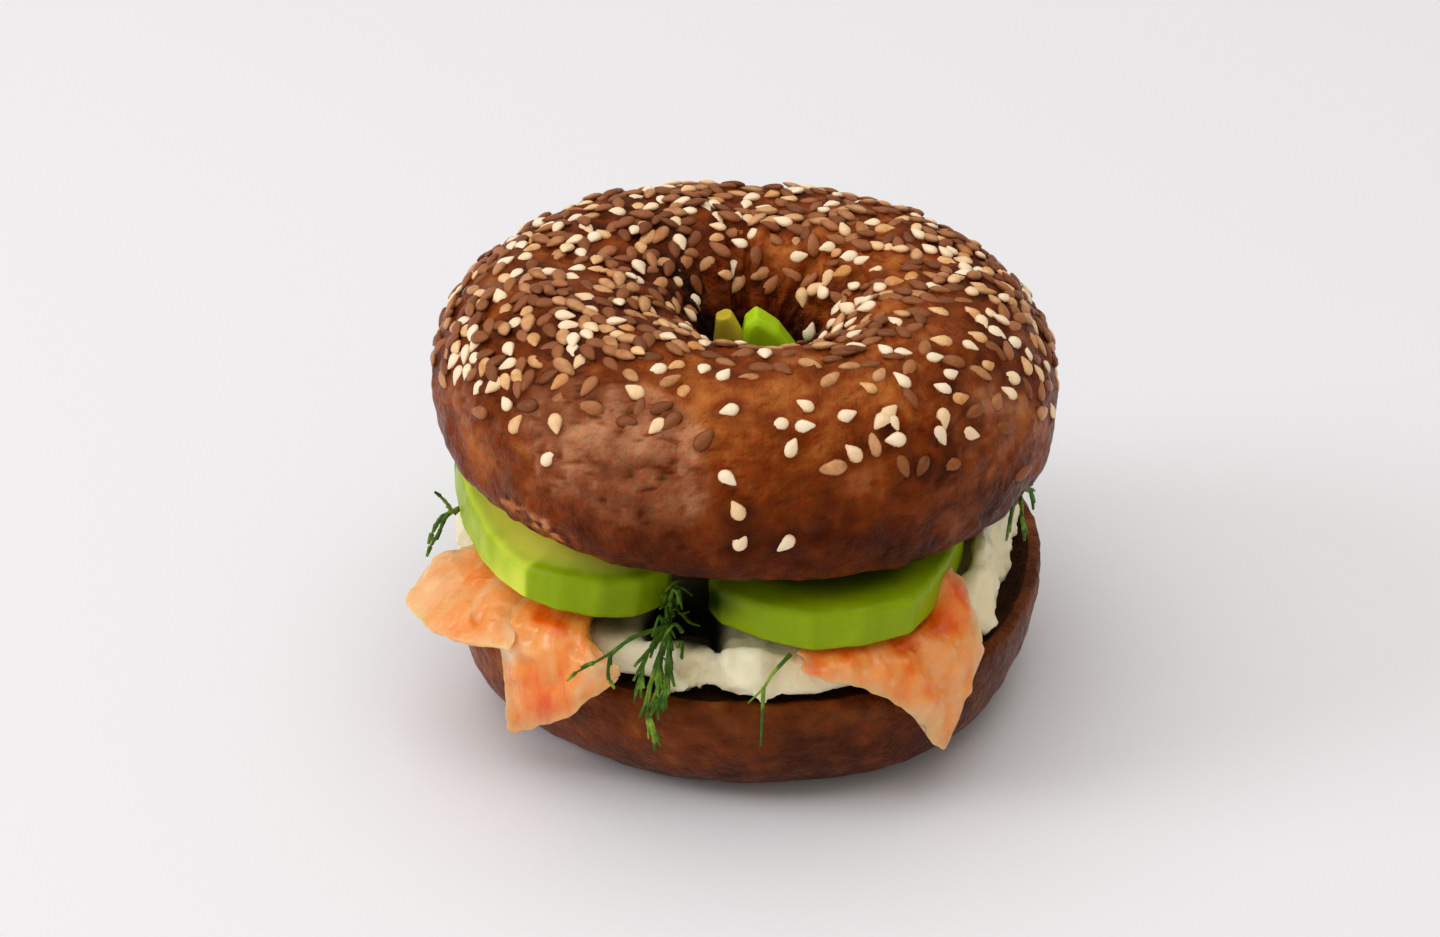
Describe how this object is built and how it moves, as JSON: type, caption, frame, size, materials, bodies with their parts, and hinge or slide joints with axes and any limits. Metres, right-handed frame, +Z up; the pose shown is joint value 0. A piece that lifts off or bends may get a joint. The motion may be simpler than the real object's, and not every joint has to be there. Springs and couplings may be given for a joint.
{
  "type": "bagel sandwich",
  "caption": "Halved dark bagel with a seeded crust and a hole through it, filled with cream cheese, smoked salmon, avocado slices and dill.",
  "frame": {"origin": "bottom centre of the whole sandwich's box, on the surface that it stands on", "axes": "+Z up through the hole of the bagel, -Y towards the viewer of the picture, +X to the viewer's right"},
  "size_m": [0.109, 0.1076, 0.0748],
  "materials": {
    "crust": "semi-gloss baked crust",
    "heel_crust": "dark baked crust",
    "cream_cheese": "soft satin",
    "salmon": "moist satin",
    "avocado": "moist satin",
    "dill": "matte",
    "seed_pale": "satin",
    "seed_brown": "satin"
  },
  "bodies": {
    "root": {"heel": "heel_crust", "crown": "crust", "cream_cheese": "cream_cheese", "salmon_left_flap": "salmon", "salmon_left_front": "salmon", "salmon_right": "salmon", "salmon_back": "salmon", "avocado_left": "avocado", "avocado_right": "avocado", "avocado_back": "avocado", "avocado_back_left": "avocado", "avocado_centre": "avocado", "avocado_centre_strip": "avocado", "dill_left": "dill", "dill_centre": "dill", "dill_thread": "dill", "dill_right": "dill"}
  },
  "joints": []
}
